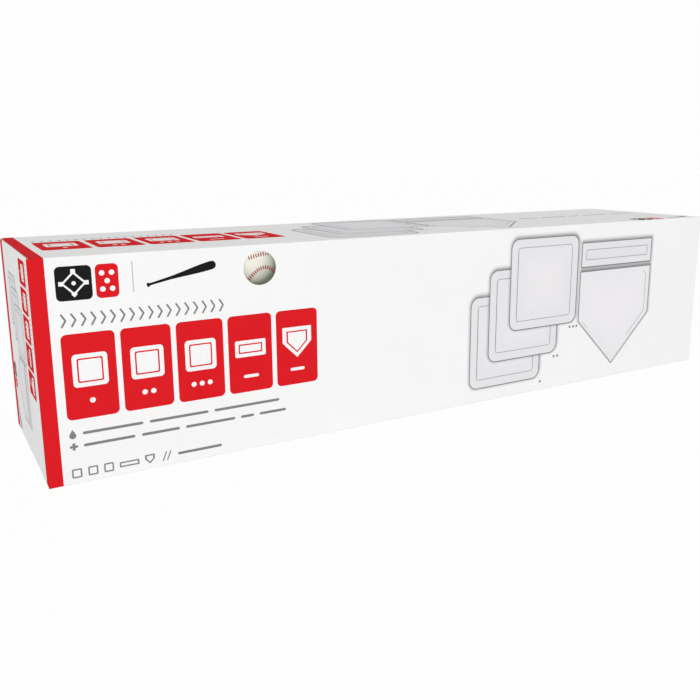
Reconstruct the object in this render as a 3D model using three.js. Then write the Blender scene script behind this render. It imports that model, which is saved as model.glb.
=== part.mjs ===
import * as THREE from "three";

// Carton, outside sizes in mm: X is its length, -Y its front, Z up
const LENGTH = 440;
const DEPTH = 102;
const HEIGHT = 104;

// Board and the air around it
const BOARD = 1.0;
const CREASE_GAP = 0.3;
const FIT = 0.3;
const GLUE_LINE = 0.2;

// End closures: a flap hinged on the front panel, its tuck tongue and two dust flaps
const FLAP_EDGE = 0.5;
const TUCK_PLAY = 0.5;
const TONGUE_LENGTH = 16;
const TONGUE_LEAN = THREE.MathUtils.degToRad(10);
const TONGUE_SIDE = 3;
const TONGUE_CORNER = 9;
const DUST_LENGTH = 44;
const DUST_FRONT = 2;
const DUST_BACK = 4.5;
const DUST_TAPER = THREE.MathUtils.degToRad(30);
const DUST_CORNER = 8;
const GLUE_FLAP = 20;

// Mats of the set, flat sizes, and the roll they are packed in
const BASE_SIDE = 356;
const BASE_CORNER = 32;
const BASE_BORDER = 32;
const END_PLAY = 1.7;
const PLATE_SIDE = LENGTH - 2 * (2 * BOARD + FIT + END_PLAY);
const PLATE_CORNER = 6;
const PLATE_TIP = 5;
const RUBBER_WIDTH = 102;
const RUBBER_CORNER = 6;
const NARROW_BORDER = 26;
const MAT = 2.5;
const RIM = 1.3;
const LAYER_GAP = 0.4;
const END_GAP = 2;
const FRONT_PLAY = 2;
const BACK_PLAY = 5.2;
const ROLL_RADIUS = (Math.min(DEPTH, HEIGHT) - 2 * BOARD - FRONT_PLAY - BACK_PLAY) / 2;
const ROLL_STEP = THREE.MathUtils.degToRad(12);
const ROLL_START = THREE.MathUtils.degToRad(-130);
const CORNER_STEPS = 4;

// Places that follow from the sizes above
const END_X = LENGTH / 2;
const FRONT_Y = -DEPTH / 2;
const DUST_X = END_X - BOARD - FIT;
const GLUE_Y = DEPTH / 2 - BOARD - GLUE_LINE;
const FLAP_LENGTH = DEPTH - BOARD - TUCK_PLAY;
const RIGHT_ANGLE = Math.PI / 2;
const RAW = 0;
const AXIS_X = new THREE.Vector3(1, 0, 0);
const AXIS_Y = new THREE.Vector3(0, 1, 0);
const AXIS_Z = new THREE.Vector3(0, 0, 1);

const boardLook = new THREE.MeshStandardMaterial({ color: 0xf6f6f4, roughness: 0.45, metalness: 0 });
const rubberLook = new THREE.MeshStandardMaterial({ color: 0xe9ecec, roughness: 0.75, metalness: 0 });

const carton = new THREE.Group();
carton.name = "throw_down_base_set";

// Moves each edge of a counter-clockwise outline inwards by its own distance
function insetEdges(outline, distances) {
  const count = outline.length;
  const lines = outline.map((from, i) => {
    const to = outline[(i + 1) % count];
    const along = to.clone().sub(from).normalize();
    const inward = new THREE.Vector2(-along.y, along.x);
    return { along, point: from.clone().addScaledVector(inward, distances[i]) };
  });
  return lines.map((line, i) => {
    const last = lines[(i + count - 1) % count];
    const cross = last.along.cross(line.along);
    const reach = line.point.clone().sub(last.point).cross(line.along) / cross;
    return last.point.clone().addScaledVector(last.along, reach);
  });
}

// A board whose folded edges are mitred by half their fold angle; w = 0 is its outer face
function boardGeometry(outline, folds) {
  const gaps = folds.map((fold) => (fold ? CREASE_GAP / 2 / Math.cos(fold / 2) : 0));
  const mitres = folds.map((fold, i) => gaps[i] + BOARD * Math.tan(fold / 2));
  const outer = insetEdges(outline, gaps);
  const inner = insetEdges(outline, mitres);
  const count = outline.length;
  const points = [
    ...outer.map((p) => new THREE.Vector3(p.x, p.y, 0)),
    ...inner.map((p) => new THREE.Vector3(p.x, p.y, -BOARD)),
  ];
  const index = [];
  for (const [a, b, c] of THREE.ShapeUtils.triangulateShape(outer, [])) {
    index.push(a, b, c);
    index.push(count + c, count + b, count + a);
  }
  for (let i = 0; i < count; i++) {
    const j = (i + 1) % count;
    index.push(i, count + i, j);
    index.push(j, count + i, count + j);
  }
  return new THREE.BufferGeometry().setFromPoints(points).setIndex(index);
}

// Puts a board with its local u and v along two directions, from a point on its outer face
function addBoard(group, name, origin, u, v, outline, folds) {
  const mesh = new THREE.Mesh(boardGeometry(outline, folds), boardLook);
  const w = u.clone().cross(v);
  mesh.name = name;
  mesh.applyMatrix4(new THREE.Matrix4().makeBasis(u, v, w).setPosition(origin));
  group.add(mesh);
}

function rectangle(u0, u1, v0, v1) {
  return [
    new THREE.Vector2(u0, v0),
    new THREE.Vector2(u1, v0),
    new THREE.Vector2(u1, v1),
    new THREE.Vector2(u0, v1),
  ];
}

// Points of a rounded corner, from angle a0 on
function cornerArc(u, v, radius, a0, turn) {
  return Array.from({ length: CORNER_STEPS + 1 }, (_, i) => {
    const angle = a0 + (turn * i) / CORNER_STEPS;
    return new THREE.Vector2(u + radius * Math.cos(angle), v + radius * Math.sin(angle));
  });
}

// Four walls round X; edges are listed as bottom, right, top, left of each outline
function addWalls() {
  const bothFolds = [RIGHT_ANGLE, RIGHT_ANGLE, RIGHT_ANGLE, RIGHT_ANGLE];
  const backFolds = [RAW, RAW, RIGHT_ANGLE, RAW];
  const minusX = AXIS_X.clone().negate();
  const minusY = AXIS_Y.clone().negate();
  const frontAt = new THREE.Vector3(0, FRONT_Y, 0);
  const topAt = new THREE.Vector3(0, 0, HEIGHT);
  const backAt = new THREE.Vector3(0, -FRONT_Y, 0);
  const bottomAt = new THREE.Vector3(0, 0, 0);
  const upright = rectangle(-END_X, END_X, 0, HEIGHT);
  const raised = rectangle(-END_X, END_X, FIT, HEIGHT);
  const lid = rectangle(-DUST_X, DUST_X, FRONT_Y, -FRONT_Y);
  const floor = rectangle(-DUST_X, DUST_X, -GLUE_Y, -FRONT_Y);
  addBoard(carton, "front_panel", frontAt, AXIS_X, AXIS_Z, upright, bothFolds);
  addBoard(carton, "top_panel", topAt, AXIS_X, AXIS_Y, lid, bothFolds);
  addBoard(carton, "back_panel", backAt, minusX, AXIS_Z, raised, backFolds);
  addBoard(carton, "bottom_panel", bottomAt, AXIS_X, minusY, floor, bothFolds);
}

// Strip folded up from the bottom panel and glued inside the back panel
function addGlueFlap() {
  const wide = DUST_X - FIT - BOARD;
  const narrow = wide - GLUE_FLAP / 2;
  const outline = [
    new THREE.Vector2(-wide, 0),
    new THREE.Vector2(wide, 0),
    new THREE.Vector2(narrow, GLUE_FLAP),
    new THREE.Vector2(-narrow, GLUE_FLAP),
  ];
  const at = new THREE.Vector3(0, GLUE_Y, 0);
  addBoard(carton, "glue_flap", at, AXIS_X.clone().negate(), AXIS_Z, outline, [RIGHT_ANGLE, RAW, RAW, RAW]);
}

// Flap that closes an end; its crease runs up the front panel's end edge
function addEndFlap(group, side) {
  const at = new THREE.Vector3(-END_X, FRONT_Y, 0);
  const outline = rectangle(FLAP_EDGE, HEIGHT - FLAP_EDGE, 0, FLAP_LENGTH);
  const folds = [RIGHT_ANGLE, RAW, RIGHT_ANGLE + TONGUE_LEAN, RAW];
  addBoard(group, side + "_end_flap", at, AXIS_Z, AXIS_Y, outline, folds);
}

// Tongue on the flap's free edge, tucked in front of the back panel
function addTongue(group, side) {
  const at = new THREE.Vector3(-END_X, FRONT_Y + FLAP_LENGTH, 0);
  const inward = new THREE.Vector3(Math.cos(TONGUE_LEAN), -Math.sin(TONGUE_LEAN), 0);
  const low = FLAP_EDGE + TONGUE_SIDE;
  const high = HEIGHT - low;
  const tip = TONGUE_LENGTH - TONGUE_CORNER;
  const outline = [
    new THREE.Vector2(low, 0),
    new THREE.Vector2(high, 0),
    ...cornerArc(high - TONGUE_CORNER, tip, TONGUE_CORNER, 0, RIGHT_ANGLE),
    ...cornerArc(low + TONGUE_CORNER, tip, TONGUE_CORNER, RIGHT_ANGLE, RIGHT_ANGLE),
  ];
  const folds = outline.map((_, i) => (i === 0 ? RIGHT_ANGLE + TONGUE_LEAN : RAW));
  addBoard(group, side + "_tuck_tongue", at, AXIS_Z, inward, outline, folds);
}

// Dust flap inside an end flap, tapered on its front side so that both can open together
function addDustFlap(group, side, place) {
  const isTop = place === "top";
  const hinge = new THREE.Vector3(-DUST_X, 0, isTop ? HEIGHT : 0);
  const u = isTop ? AXIS_Y : AXIS_Y.clone().negate();
  const v = isTop ? AXIS_Z.clone().negate() : AXIS_Z;
  const front = FRONT_Y + BOARD + DUST_FRONT;
  const back = -FRONT_Y - BOARD - DUST_BACK;
  const far = DUST_LENGTH - DUST_CORNER;
  const taper = front + DUST_LENGTH * Math.tan(DUST_TAPER);
  const shape = [
    new THREE.Vector2(front, 0),
    new THREE.Vector2(back, 0),
    ...cornerArc(back - DUST_CORNER, far, DUST_CORNER, 0, RIGHT_ANGLE),
    new THREE.Vector2(taper, DUST_LENGTH),
  ];
  const outline = isTop ? shape : mirrored(shape);
  const creaseEdge = isTop ? 0 : outline.length - 2;
  const folds = outline.map((_, i) => (i === creaseEdge ? RIGHT_ANGLE : RAW));
  addBoard(group, side + "_" + place + "_dust_flap", hinge, u, v, outline, folds);
}

// The same outline seen from behind, still counter-clockwise
function mirrored(outline) {
  return outline.map((p) => new THREE.Vector2(-p.x, p.y)).reverse();
}

function addEndClosure(side) {
  const group = new THREE.Group();
  group.name = side + "_closure";
  addEndFlap(group, side);
  addTongue(group, side);
  addDustFlap(group, side, "top");
  addDustFlap(group, side, "bottom");
  group.scale.x = side === "right" ? -1 : 1;
  carton.add(group);
}

// Roll: one spiral round X that all the mats lie in, end to end from outside to inside
const PITCH = MAT + LAYER_GAP;
const START_RADIUS = ROLL_RADIUS - MAT / 2;

function turnAt(distance) {
  const root = Math.sqrt(START_RADIUS * START_RADIUS - (PITCH * distance) / Math.PI);
  return ((START_RADIUS - root) * 2 * Math.PI) / PITCH;
}

function distanceAt(turn) {
  return START_RADIUS * turn - (PITCH * turn * turn) / (4 * Math.PI);
}

// A point of the spiral's facets, off its middle surface by a height
function rollPoint(x, turn, height) {
  const low = Math.floor(turn / ROLL_STEP) * ROLL_STEP;
  const corner = (t) => {
    const radius = START_RADIUS - (PITCH * t) / (2 * Math.PI) + height;
    const angle = ROLL_START + t;
    return new THREE.Vector3(x, radius * Math.cos(angle), radius * Math.sin(angle));
  };
  return corner(low).lerp(corner(low + ROLL_STEP), (turn - low) / ROLL_STEP);
}

// A mat as six points across at each station: flat below, and a bevelled border above
function rolledMat(start, length, halfWidth, border, extraStations) {
  const first = turnAt(start);
  const last = turnAt(start + length);
  const turns = extraStations.map((s) => turnAt(start + s));
  for (let k = Math.ceil(first / ROLL_STEP); k * ROLL_STEP < last; k++) {
    turns.push(k * ROLL_STEP);
  }
  turns.sort((a, b) => a - b);
  const kept = turns.filter((t, i) => i === 0 || t - turns[i - 1] > ROLL_STEP / 40);
  kept[kept.length - 1] = last;
  const points = [];
  for (const turn of kept) {
    const s = Math.min(Math.max(distanceAt(turn) - start, 0), length);
    const half = halfWidth(s);
    const inset = Math.max(half - border, half / 2);
    const rise = Math.min(1, Math.min(s, length - s, half - inset) / border);
    const rim = RIM - MAT / 2;
    const top = RIM + (MAT - RIM) * rise - MAT / 2;
    points.push(rollPoint(-half, turn, -MAT / 2));
    points.push(rollPoint(half, turn, -MAT / 2));
    points.push(rollPoint(half, turn, rim));
    points.push(rollPoint(inset, turn, top));
    points.push(rollPoint(-inset, turn, top));
    points.push(rollPoint(-half, turn, rim));
  }
  return new THREE.BufferGeometry().setFromPoints(points).setIndex(loftIndex(kept.length, 6));
}

// Triangles of a closed loft through rings with the same number of points
function loftIndex(rings, ring) {
  const index = [];
  const end = (rings - 1) * ring;
  for (let r = 0; r + 1 < rings; r++) {
    for (let i = 0; i < ring; i++) {
      const a = r * ring + i;
      const b = r * ring + ((i + 1) % ring);
      index.push(a, b, a + ring);
      index.push(b, b + ring, a + ring);
    }
  }
  for (let i = 1; i + 1 < ring; i++) {
    index.push(0, i + 1, i);
    index.push(end, end + i, end + i + 1);
  }
  return index;
}

// Half width at a distance from either end of a mat with rounded corners
function roundedHalf(half, corner, s, length) {
  const near = Math.min(s, length - s, corner);
  const lost = corner - Math.sqrt(corner * corner - (corner - near) * (corner - near));
  return half - lost;
}

// Half width of the home plate, from its back edge to its tip
function plateHalf(s) {
  const half = PLATE_SIDE / 2;
  if (s > half) {
    return PLATE_SIDE - s;
  }
  return roundedHalf(half, PLATE_CORNER, s, PLATE_SIDE);
}

function matStations(length, corner, border) {
  const near = [0, corner * 0.1, corner * 0.3, corner, border];
  return [...near, ...near.map((s) => length - s)];
}

function addMats() {
  const baseStations = matStations(BASE_SIDE, BASE_CORNER, BASE_BORDER);
  const baseHalf = (s) => roundedHalf(BASE_SIDE / 2, BASE_CORNER, s, BASE_SIDE);
  const rubberStations = matStations(RUBBER_WIDTH, RUBBER_CORNER, NARROW_BORDER);
  const rubberHalf = (s) => roundedHalf(PLATE_SIDE / 2, RUBBER_CORNER, s, RUBBER_WIDTH);
  const plateLength = PLATE_SIDE - PLATE_TIP;
  const plateStations = [0, 0.6, 2, PLATE_CORNER, NARROW_BORDER, PLATE_SIDE / 2, plateLength - NARROW_BORDER];
  plateStations.push(plateLength);
  const mats = [
    ["home_plate", plateLength, plateHalf, NARROW_BORDER, plateStations],
    ["third_base", BASE_SIDE, baseHalf, BASE_BORDER, baseStations],
    ["second_base", BASE_SIDE, baseHalf, BASE_BORDER, baseStations],
    ["first_base", BASE_SIDE, baseHalf, BASE_BORDER, baseStations],
    ["pitchers_rubber", RUBBER_WIDTH, rubberHalf, NARROW_BORDER, rubberStations],
  ];
  const roll = new THREE.Group();
  roll.name = "roll";
  let start = 0;
  for (const [name, length, half, border, stations] of mats) {
    const mesh = new THREE.Mesh(rolledMat(start, length, half, border, stations), rubberLook);
    mesh.name = name;
    roll.add(mesh);
    start += length + END_GAP;
  }
  const lowest = new THREE.Box3().setFromObject(roll, true).min.z;
  roll.position.y = FRONT_Y + BOARD + FRONT_PLAY + ROLL_RADIUS;
  roll.position.z = BOARD + FIT - lowest;
  carton.add(roll);
}

addWalls();
addGlueFlap();
addEndClosure("left");
addEndClosure("right");
addMats();

export default carton;
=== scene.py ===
import math

import bpy
import numpy as np
from mathutils import Euler, Matrix, Vector
from mathutils.geometry import delaunay_2d_cdt

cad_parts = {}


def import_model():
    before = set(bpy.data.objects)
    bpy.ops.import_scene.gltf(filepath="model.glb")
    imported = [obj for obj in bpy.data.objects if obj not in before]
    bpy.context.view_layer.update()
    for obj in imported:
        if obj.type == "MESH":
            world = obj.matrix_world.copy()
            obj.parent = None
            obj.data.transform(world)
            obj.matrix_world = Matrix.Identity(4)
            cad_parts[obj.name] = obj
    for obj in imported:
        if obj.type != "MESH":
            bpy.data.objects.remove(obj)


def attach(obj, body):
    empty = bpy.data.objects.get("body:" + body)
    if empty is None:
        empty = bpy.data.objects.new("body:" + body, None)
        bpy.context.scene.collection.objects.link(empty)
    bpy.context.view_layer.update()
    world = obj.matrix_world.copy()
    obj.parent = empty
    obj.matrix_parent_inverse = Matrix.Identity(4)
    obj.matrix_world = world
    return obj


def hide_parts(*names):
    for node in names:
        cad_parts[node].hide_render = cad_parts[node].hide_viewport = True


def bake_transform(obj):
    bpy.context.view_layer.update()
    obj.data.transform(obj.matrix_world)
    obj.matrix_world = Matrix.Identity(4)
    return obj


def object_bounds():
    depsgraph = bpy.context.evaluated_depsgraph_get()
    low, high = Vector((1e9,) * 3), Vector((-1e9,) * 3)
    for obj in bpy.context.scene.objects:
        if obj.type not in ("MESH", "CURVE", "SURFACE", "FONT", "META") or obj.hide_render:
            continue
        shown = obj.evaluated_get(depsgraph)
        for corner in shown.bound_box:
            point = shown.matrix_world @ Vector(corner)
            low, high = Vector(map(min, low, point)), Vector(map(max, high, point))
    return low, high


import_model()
cad_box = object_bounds()

MM = 0.001
RIGHT_ANGLE = math.pi / 2
X, Y, Z = np.eye(3)
U, V = 0, 1

# Carton, in mm, as the solids have it
LENGTH, DEPTH, HEIGHT = (round((high - low) / MM, 3) for low, high in zip(*cad_box))
BOARD, FIT, GLUE_LINE, TUCK_PLAY = 1.0, 0.3, 0.2, 0.5
TONGUE_LENGTH, TONGUE_LEAN = 16.0, math.radians(10)
TONGUE_SIDE, TONGUE_CORNER = 3.0, 9.0
DUST_LENGTH, DUST_FRONT, DUST_BACK = 44.0, 2.0, 4.5
DUST_TAPER, DUST_CORNER = math.radians(30), 8.0
GLUE_FLAP = 20.0
CORNER_STEPS = 8

# Gaps beside and behind the end flaps, in mm, tighter than between the solids
FLAP_EDGE, END_FIT = 0.25, 0.12

# Places of the boards, in mm
END_X, FRONT_Y = LENGTH / 2, -DEPTH / 2
INSET_END = BOARD + END_FIT
DUST_X = END_X - BOARD - END_FIT
GLUE_Y = DEPTH / 2 - BOARD - GLUE_LINE
FLAP_LENGTH = DEPTH - BOARD - TUCK_PLAY
TUCK_HALF = RIGHT_ANGLE / 2 + TONGUE_LEAN / 2

# Board, in mm: two liners with a fluted sheet between, pinched at cut edges and crushed at creases
LINER = 0.22
FLUTE_SHEET, FLUTE_PITCH, FLUTE_STEPS = 0.14, 2.4, 10
FLUTE_BITE, FLUTE_SIDE_GAP, FLUTE_END_GAP = 0.02, 0.05, 0.12
PINCH, PINCH_REACH = 0.5, 1.4
PINCH_ROWS = (0.35, 0.8, PINCH_REACH)
CRUSHED = 4.0
GRID_OVER = 5.0

# Creases, in mm: radius, rows of points beside them, and the stretches beside the crease and the mitre
CREASE, CREASE_STEPS = 0.55, 5
CREASE_ROWS = (0.9, 1.3, 1.7, 2.2, 2.8, 3.6)
CREASE_REACH, MITRE_REACH = 2.2, 0.6
SHARP = math.radians(32)

# Corner tabs of the top and bottom panels, over the end flaps' board, in mm
TAB_GAP, TAB_DEPTH, TAB_CHAMFER = 0.12, 1.15, 0.4

# Mats and their roll, in mm, as the solids have them
BASE_SIDE, BASE_CORNER, BASE_BORDER = 356.0, 32.0, 32.0
PLATE_SIDE, PLATE_CORNER, PLATE_TIP = 432.0, 6.0, 5.0
RUBBER_WIDTH, RUBBER_CORNER, NARROW_BORDER = 102.0, 6.0, 26.0
MAT, RIM, LAYER_GAP, END_GAP = 2.5, 1.3, 0.4, 2.0
ROLL_RADIUS, FRONT_PLAY = 46.4, 2.0
ROLL_START, ROLL_FACET, TURN_FACETS = math.radians(-130), math.radians(12), 30
PITCH = MAT + LAYER_GAP
START_RADIUS = ROLL_RADIUS - MAT / 2
ROLL_Y = FRONT_Y + BOARD + FRONT_PLAY + ROLL_RADIUS

# Mat sections, in mm: stepped rim, bevelled border, groove and raised field
RIM_STEPS = ((0.0, 0.0), (0.0, 0.8), (0.25, 0.96))
BEVEL_START, BEVEL_LEAD, BEVEL_DROP = 1.2, 0.01, 0.12
GROOVE, GROOVE_WIDTH = 0.35, 1.4
END_GROOVE, END_GROOVE_BEFORE, END_GROOVE_AFTER = 0.45, 1.2, 0.4
FIELD_DROP, FIELD_EDGE = 0.02, 8.0
NARROW_MAT = 20.0
END_STATIONS = (0, 0.25, 0.8, 2, 4, 7, 11, 16, 22)
BORDER_STATIONS = (-1.6, -0.8, 0, 0.8)
STATION = 2.2

# Floor and light: sizes in m, whites as shares of full white
FLOOR_HALF, FLOOR_GREY = 6.0, 0.85
FLOOR_WHITE, SKY_WHITE = 0.96, 0.988
FILL_STRENGTH, FILL_COLOUR = 0.75, (1.0, 0.99, 0.98, 1.0)
KEY_AT, KEY_TARGET = (-1.2, -2.56, 0.36), (0.0, 0.0, 0.05)
KEY_SIZE, KEY_POWER, KEY_COLOUR = 1.5, 39.0, (0.985, 0.995, 1.0)

# Camera: place in m, turn in degrees, focal length and optical centre in pixels
CAMERA_AT, CAMERA_TURN = (-0.263173, -0.404814, 0.145983), (77.8387, 0.1070, -30.9353)
PICTURE, FOCAL, CENTRE_X, CENTRE_Y = 700, 777.94, 371.0, 324.0
SENSOR, CLIP_NEAR, CLIP_FAR = 36.0, 0.01, 50.0

# Colours, written as they look on the lit front, where bare board is LIT_WHITE
WHITE_ALBEDO, LIT_WHITE = 0.88, 248


def linear(level):
    c = np.asarray(level, float) / 255
    return np.where(c <= 0.04045, c / 12.92, ((c + 0.055) / 1.055) ** 2.4)


def ink(r, g, b):
    return tuple(linear((r, g, b)) / linear(LIT_WHITE) * WHITE_ALBEDO)


WHITE, RED, CHARCOAL = ink(247, 248, 248), ink(221, 32, 39), ink(32, 31, 33)
GREY, PALE_GREY = ink(132, 132, 136), ink(176, 177, 180)
OUTLINE, BORDER = ink(132, 134, 138), ink(232, 232, 235)
INSET_LINE, INSET_DARK = ink(160, 164, 170), ink(128, 132, 138)
BASE_FIELD = ink(232, 233, 237), ink(241, 238, 241)
PLATE_FIELD = ink(237, 236, 239), ink(242, 240, 244)
RUBBER_FIELD = ink(229, 229, 232), ink(232, 231, 234)
BALL_TONES, STITCH_RED = (ink(104, 110, 96), ink(240, 240, 226)), ink(146, 30, 36)


# Flat shapes, in mm, as counter-clockwise outlines
def rectangle(u0, v0, u1, v1):
    return np.array([(u0, v0), (u1, v0), (u1, v1), (u0, v1)], float)


def box(u, v, half_u, half_v):
    return rectangle(u - half_u, v - half_v, u + half_u, v + half_v)


def arc(u, v, radius, a0, a1, steps):
    a = np.linspace(a0, a1, steps + 1)
    return np.column_stack((u + radius * np.cos(a), v + radius * np.sin(a)))


def rounded(u0, v0, u1, v1, r, steps=6):
    q = RIGHT_ANGLE
    return np.vstack((
        arc(u0 + r, v0 + r, r, -2 * q, -q, steps),
        arc(u1 - r, v0 + r, r, -q, 0, steps),
        arc(u1 - r, v1 - r, r, 0, q, steps),
        arc(u0 + r, v1 - r, r, q, 2 * q, steps),
    ))


def rounded_box(u, v, half_u, half_v, r):
    return rounded(u - half_u, v - half_v, u + half_u, v + half_v, r)


def circle(u, v, radius, steps=24):
    return arc(u, v, radius, 0, 2 * math.pi, steps)[:-1]


def bar(u0, v, u1, height):
    """A bar with round ends, whose arcs stay a hair apart."""
    hair = 1e-3
    return rounded(u0, v - height / 2, u1, v + height / 2, height / 2 - hair, 4)


def home_plate(u, v_top, width):
    h = width / 2
    return np.array([
        (u, v_top - width), (u + h, v_top - h), (u + h, v_top), (u - h, v_top), (u - h, v_top - h),
    ], float)


def stroke(p, q, width):
    p, q = np.asarray(p, float), np.asarray(q, float)
    d = (q - p) / np.linalg.norm(q - p)
    n = np.array((-d[1], d[0])) * width / 2
    return np.array([p - n, q - n, q + n, p + n])


def grown(outline, distance):
    """A convex outline with each edge moved out by a distance."""
    along = np.roll(outline, -1, 0) - outline
    along /= np.linalg.norm(along, axis=1)[:, None]
    base = outline + distance * np.column_stack((along[:, 1], -along[:, 0]))
    last, last_base = np.roll(along, 1, 0), np.roll(base, 1, 0)
    turn = last[:, 0] * along[:, 1] - last[:, 1] * along[:, 0]
    gap = base - last_base
    reach = (gap[:, 0] * along[:, 1] - gap[:, 1] * along[:, 0]) / turn
    return last_base + last * reach[:, None]


def inside(points, outline):
    x, y = points[:, 0], points[:, 1]
    hit = np.zeros(len(points), bool)
    for (x0, y0), (x1, y1) in zip(outline, np.roll(outline, -1, 0)):
        if y0 == y1:
            continue
        spans = (y0 > y) != (y1 > y)
        hit ^= spans & (x < (x1 - x0) * (y - y0) / (y1 - y0) + x0)
    return hit


def edge_distance(points, outline):
    best = np.full(len(points), np.inf)
    for p, q in zip(outline, np.roll(outline, -1, 0)):
        d = q - p
        t = np.clip(((points - p) @ d) / (d @ d), 0, 1)
        best = np.minimum(best, np.linalg.norm(points - p - t[:, None] * d, axis=1))
    return best


def mixed(a, b, t):
    t = np.clip(t, 0, 1)[:, None]
    return np.asarray(a) * (1 - t) + np.asarray(b) * t


# Print: a list of layers, later ones on top; a tint darkens what lies below it
class Layer:
    def __init__(self, outline, colour, guides=(), tint=False):
        self.outline, self.colour = np.asarray(outline, float), colour
        self.guides, self.tint = list(guides), tint


def even(outline, colour):
    return [Layer(outline, colour)]


def line(points, width, colour):
    return [Layer(stroke(p, q, width), colour) for p, q in zip(points, points[1:])]


def placed(layers, scale_u, scale_v, du, dv):
    """The same print, scaled and moved on another panel."""
    scale, move = np.array((scale_u, scale_v)), np.array((du, dv))

    def moved(colour):
        if not callable(colour):
            return colour
        return lambda p: colour((p - move) / scale)

    return [
        Layer(a.outline * scale + move, moved(a.colour), [g * scale + move for g in a.guides], a.tint)
        for a in layers
    ]


# Picture of the set on the front, in mm: places, sizes, and how its edges and fields are shaded
PICTURED_BASES, PICTURED_BASE = ((237.1, 8.6), (251.0, 23.7), (266.8, 41.4)), (55.2, 55.9)
PICTURED_RUBBER = (325.4, 76.3, 390.1, 91.9)
PICTURED_PLATE = (325.0, 390.4, 73.4, 41.2, 9.3)
PLATE_RIGHT_LINE = (384.0, 70.0), (386.6, 67.2), (386.8, 42.8), (371.4, 27.4)
PLATE_LEFT_LINE = (328.4, 40.8), (333.4, 35.8)
GLOW_STEPS, GLOW_SHIFT = (0.4, 0.8, 1.3, 1.9, 2.6), np.array((0.2, 0.75))
GLOW_DARK, GLOW_FALL, GAP_SHADE = (0.38, 0.38, 0.39), 0.6, 0.76
FIELD_RINGS = (0.12, 0.3, 0.55, 0.8, 0.97)
EDGE_OUT, EDGE_IN, INSET_HALF = 0.34, 0.3, 0.22


def soft_shadow(outline):
    """The soft grey shade around a pictured mat."""
    shape = outline + GLOW_SHIFT
    reach = GLOW_STEPS[-1]

    def shade(p):
        return mixed(GLOW_DARK, (1, 1, 1), (edge_distance(p, shape) / reach) ** GLOW_FALL)

    rings = [grown(shape, d) for d in (0,) + GLOW_STEPS[:-1]]
    return [Layer(grown(shape, reach), shade, rings, True)]


def shaded_field(outline, depth, tones):
    """A pictured field, paler in its middle."""

    def shade(p):
        return mixed(*tones, edge_distance(p, outline) / depth)

    rings = [grown(outline, -depth * f) for f in FIELD_RINGS]
    return [Layer(outline, shade, rings)]


def pictured_mat(outline, inset, depth, tones):
    """A mat with its edge, its border, a fine inset line and its field."""
    layers = soft_shadow(outline) + even(grown(outline, EDGE_OUT), OUTLINE)
    layers += even(grown(outline, -EDGE_IN), BORDER) + even(grown(inset, INSET_HALF), INSET_LINE)
    return layers + shaded_field(grown(inset, -INSET_HALF), depth, tones)


def pictured_base(u, v):
    """One base, with darker stretches on the two sides of its inset line."""
    corner, inset, inset_corner, fade = 5.6, 5.4, 1.6, 19.0
    near, far, left_line, right_line = 7.4, 8.0, 0.5, 0.4
    u1, v1 = u + PICTURED_BASE[0], v + PICTURED_BASE[1]
    left, right = u + inset, u1 - inset
    field = rounded(left, v + inset, right, v1 - inset, inset_corner, 4)
    layers = pictured_mat(rounded(u, v, u1, v1, corner), field, fade, BASE_FIELD)
    layers += line([(left, v + far), (left, v1 - near)], left_line, INSET_DARK)
    return layers + line([(right, v + near), (right, v1 - far)], right_line, INSET_DARK)


def pictured_rubber():
    """The pitcher's rubber, with the shaded gap between it and the plate."""
    corner, inset_u, inset_v, inset_corner, fade = 0.5, 4.0, 4.6, 0.6, 3.0
    u0, v0, u1, v1 = PICTURED_RUBBER
    plate_top = PICTURED_PLATE[2]
    gap = Layer(rectangle(u0, plate_top, u1, v0), GAP_SHADE, tint=True)
    strip = rounded(u0 + inset_u, v0 + inset_v, u1 - inset_u, v1 - inset_v, inset_corner, 2)
    return [gap] + pictured_mat(rounded(u0, v0, u1, v1, corner, 2), strip, fade, RUBBER_FIELD)


def pictured_plate():
    """The home plate, with stretches of its inset line."""
    fade, right_width, left_width = 20.0, 0.4, 0.35
    left, right, top, shoulder, tip = PICTURED_PLATE
    mid = (left + right) / 2
    shape = np.array([(mid, tip), (right, shoulder), (right, top), (left, top), (left, shoulder)], float)
    layers = soft_shadow(shape) + even(grown(shape, EDGE_OUT), OUTLINE)
    layers += shaded_field(grown(shape, -EDGE_IN), fade, PLATE_FIELD)
    layers += line(PLATE_RIGHT_LINE, right_width, INSET_LINE)
    return layers + line(PLATE_LEFT_LINE, left_width, PALE_GREY)


def base_dots():
    """Dots at the foot of each pictured base that count it."""
    radius, pitch, beside, below = 0.85, 3.0, 1.6, 2.9
    layers = []
    for count, (u, v) in enumerate(PICTURED_BASES, 1):
        right = u + PICTURED_BASE[0] + beside
        for k in range(count):
            layers += even(circle(right - pitch * k, v - below, radius, 12), GREY)
    return layers


def set_picture():
    """The set: three bases fanned out, the pitcher's rubber and the home plate."""
    layers = []
    for corner in PICTURED_BASES:
        layers += pictured_base(*corner)
    return layers + pictured_rubber() + pictured_plate() + base_dots()


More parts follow.
